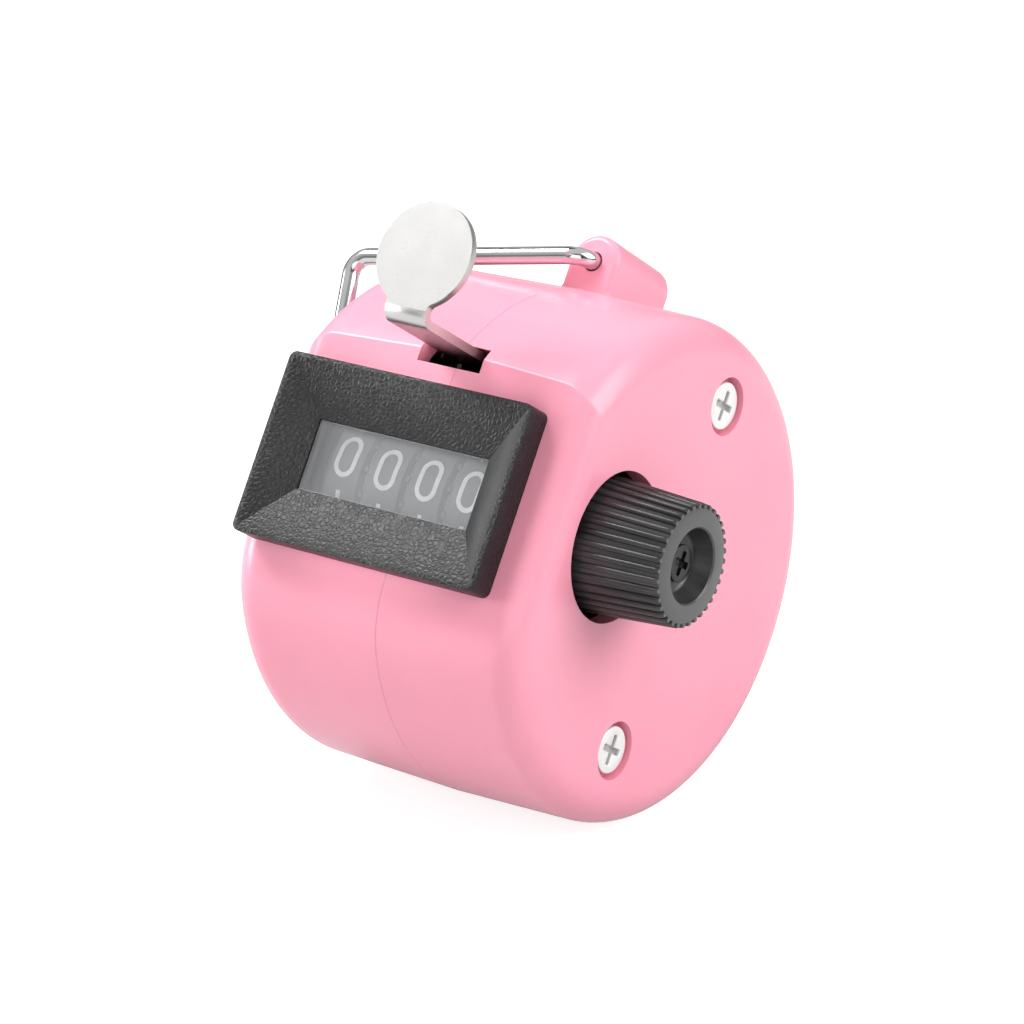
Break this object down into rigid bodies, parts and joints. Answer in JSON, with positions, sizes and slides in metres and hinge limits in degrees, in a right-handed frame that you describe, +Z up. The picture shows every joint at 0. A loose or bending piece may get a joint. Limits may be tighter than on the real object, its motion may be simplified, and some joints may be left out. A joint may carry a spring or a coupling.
{
  "type": "hand tally counter",
  "caption": "Leaning drum-shaped hand tally counter with a framed number window, sprung thumb lever, fluted reset knob and hinged wire finger loop.",
  "frame": {"origin": "the middle of the drum's plain flat left end, on the drum's axis", "axes": "+X along the drum's axis towards the reset knob, -Y the way the counter faces, +Z up; the counter leans back 32.5 degrees about X as it is read"},
  "size_m": [0.0459, 0.045, 0.0556],
  "materials": {
    "case_plastic": "semi-gloss pink moulded plastic",
    "bezel_plastic": "black plastic with a fine leather grain",
    "lens": "clear plastic",
    "frame_steel": "bright zinc-plated steel",
    "wheel_plastic": "dark plastic with white numerals",
    "pawl_brass": "spring brass",
    "train_plastic": "natural moulded plastic",
    "lever_nickel": "satin nickel-plated steel",
    "knob_plastic": "black fluted plastic",
    "screw_steel": "zinc-plated steel",
    "loop_chrome": "bright plated wire"
  },
  "bodies": {
    "case": {"case_right": "case_plastic", "case_left": "case_plastic", "bezel": "bezel_plastic", "window_lens": "lens", "mechanism_frame": "frame_steel", "pinion_shaft": "frame_steel", "pinion_spacers": "frame_steel", "lever_shaft": "frame_steel", "detent_leaf": "frame_steel", "leaf_rivet": "frame_steel", "case_screws": "screw_steel"},
    "lever": {"thumb_lever": "lever_nickel", "drive_fork": "train_plastic", "lever_spring": "frame_steel"},
    "reset": {"number_shaft": "frame_steel", "shaft_clip": "frame_steel", "reset_knob": "knob_plastic", "knob_screw": "frame_steel"},
    "units": {"number_wheel_units": "wheel_plastic", "reset_pawl_units": "pawl_brass", "star_wheel": "train_plastic"},
    "tens": {"number_wheel_tens": "wheel_plastic", "reset_pawl_tens": "pawl_brass"},
    "hundreds": {"number_wheel_hundreds": "wheel_plastic", "reset_pawl_hundreds": "pawl_brass"},
    "thousands": {"number_wheel_thousands": "wheel_plastic", "reset_pawl_thousands": "pawl_brass"},
    "pinion_tens": {"carry_pinion_tens": "train_plastic"},
    "pinion_hundreds": {"carry_pinion_hundreds": "train_plastic"},
    "pinion_thousands": {"carry_pinion_thousands": "train_plastic"},
    "loop": {"finger_loop": "loop_chrome"}
  },
  "joints": [
    {"name": "lever_press", "type": "hinge", "parent": "case", "child": "lever", "pos_m": [0.0161, -0.0032, 0.01676], "axis": [1, 0, 0], "range_deg": [0, 7], "stiffness_Nm_per_rad": 0.12, "springref_deg": -8.59},
    {"name": "reset_turn", "type": "hinge", "parent": "case", "child": "reset", "pos_m": [0.0154, -0.00835, 0.00532], "axis": [1, 0, 0], "continuous": true},
    {"name": "units_turn", "type": "hinge", "parent": "case", "child": "units", "pos_m": [0.0154, -0.00835, 0.00532], "axis": [1, 0, 0], "continuous": true},
    {"name": "tens_turn", "type": "hinge", "parent": "case", "child": "tens", "pos_m": [0.0154, -0.00835, 0.00532], "axis": [1, 0, 0], "continuous": true},
    {"name": "hundreds_turn", "type": "hinge", "parent": "case", "child": "hundreds", "pos_m": [0.0154, -0.00835, 0.00532], "axis": [1, 0, 0], "continuous": true},
    {"name": "thousands_turn", "type": "hinge", "parent": "case", "child": "thousands", "pos_m": [0.0154, -0.00835, 0.00532], "axis": [1, 0, 0], "continuous": true},
    {"name": "pinion_tens_turn", "type": "hinge", "parent": "case", "child": "pinion_tens", "pos_m": [0.0154, -0.00403, -0.00297], "axis": [1, 0, 0], "continuous": true},
    {"name": "pinion_hundreds_turn", "type": "hinge", "parent": "case", "child": "pinion_hundreds", "pos_m": [0.0154, -0.00403, -0.00297], "axis": [1, 0, 0], "continuous": true},
    {"name": "pinion_thousands_turn", "type": "hinge", "parent": "case", "child": "pinion_thousands", "pos_m": [0.0154, -0.00403, -0.00297], "axis": [1, 0, 0], "continuous": true},
    {"name": "loop_swing", "type": "hinge", "parent": "case", "child": "loop", "pos_m": [0.0163, 0.01311, 0.02058], "axis": [0, 0.8434, -0.5373], "range_deg": [0, 200]}
  ],
  "couplings": [
    {"joint": "tens_turn", "follows": "units_turn", "ratio": 0.1},
    {"joint": "hundreds_turn", "follows": "units_turn", "ratio": 0.01},
    {"joint": "thousands_turn", "follows": "units_turn", "ratio": 0.001},
    {"joint": "pinion_tens_turn", "follows": "units_turn", "ratio": -0.25},
    {"joint": "pinion_hundreds_turn", "follows": "units_turn", "ratio": -0.025},
    {"joint": "pinion_thousands_turn", "follows": "units_turn", "ratio": -0.0025}
  ]
}
